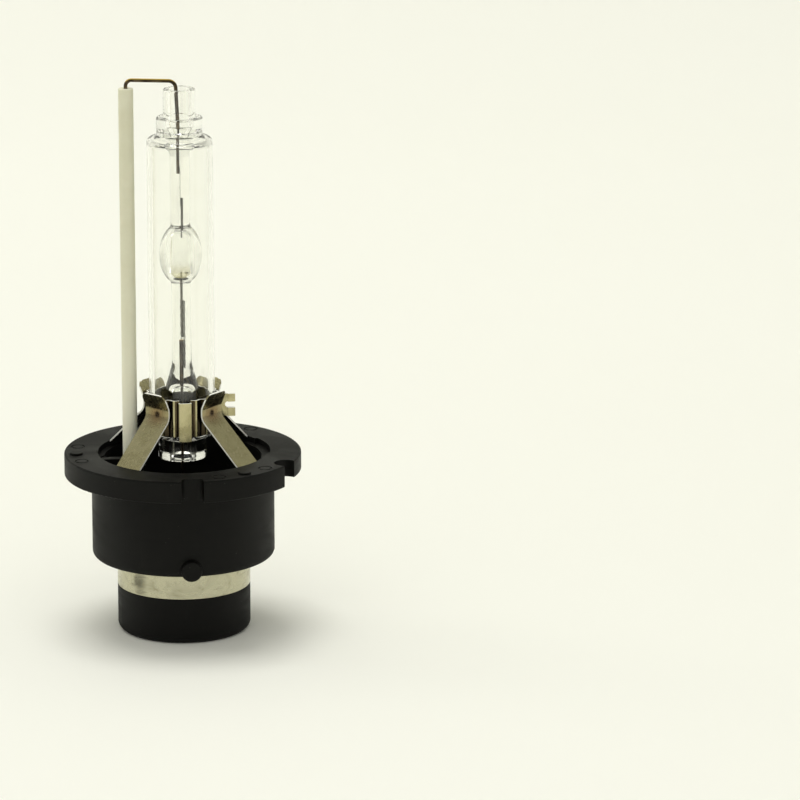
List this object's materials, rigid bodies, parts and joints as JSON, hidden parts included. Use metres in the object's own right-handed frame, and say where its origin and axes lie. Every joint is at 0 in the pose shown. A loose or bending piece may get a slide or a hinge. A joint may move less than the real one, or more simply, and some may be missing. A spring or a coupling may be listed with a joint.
{
  "type": "headlight bulb",
  "caption": "Gas-discharge headlight lamp: quartz burner in an outer tube, clamped by a sheet-metal holder on a keyed prefocus cap, with a ceramic-sleeved return wire.",
  "frame": {"origin": "on the lamp axis in the reference plane, which holds the tops of the three seating pips on the flange", "axes": "+Z along the lamp axis towards the glass tip; -X towards the ceramic-sleeved return wire; -Y towards the square key notch in the flange and the front bayonet stud"},
  "size_m": [0.032, 0.0319, 0.076],
  "materials": {
    "moulded_black": "moulded thermoplastic, semi-matte with a fine tool texture",
    "moulded_black_plug": "moulded thermoplastic, semi-matte",
    "contact_band": "satin stainless strip with faint stains",
    "contact_pin": "bright nickel plate",
    "spring_steel": "rolled stainless strip, warm tint, brown heat marks at the spot welds",
    "envelope_glass": "clear quartz, fire-polished",
    "burner_glass": "clear quartz, fire-polished",
    "tungsten": "drawn tungsten, grey",
    "foil": "etched molybdenum foil, grey",
    "lead_wire": "drawn molybdenum wire, brown oxide",
    "ceramic": "unglazed alumina ceramic, cream white",
    "halide_salt": "translucent yellow salt film",
    "mercury": "liquid metal bead"
  },
  "bodies": {
    "root": {"base_housing": "moulded_black", "connector_plug": "moulded_black_plug", "return_contact_ring": "contact_band", "centre_contact_pin": "contact_pin", "leg_anchor_ring": "spring_steel", "leg_front_left": "spring_steel", "leg_front_right": "spring_steel", "leg_rear_right": "spring_steel", "leg_rear_left": "spring_steel", "clamp_collar": "spring_steel", "outer_envelope": "envelope_glass", "arc_tube": "burner_glass", "upper_electrode": "tungsten", "lower_electrode": "tungsten", "upper_foil": "foil", "lower_foil": "foil", "return_wire": "lead_wire", "lower_lead_wire": "lead_wire", "ceramic_tube": "ceramic", "salt_pool": "halide_salt", "mercury_bead": "mercury"}
  },
  "joints": []
}
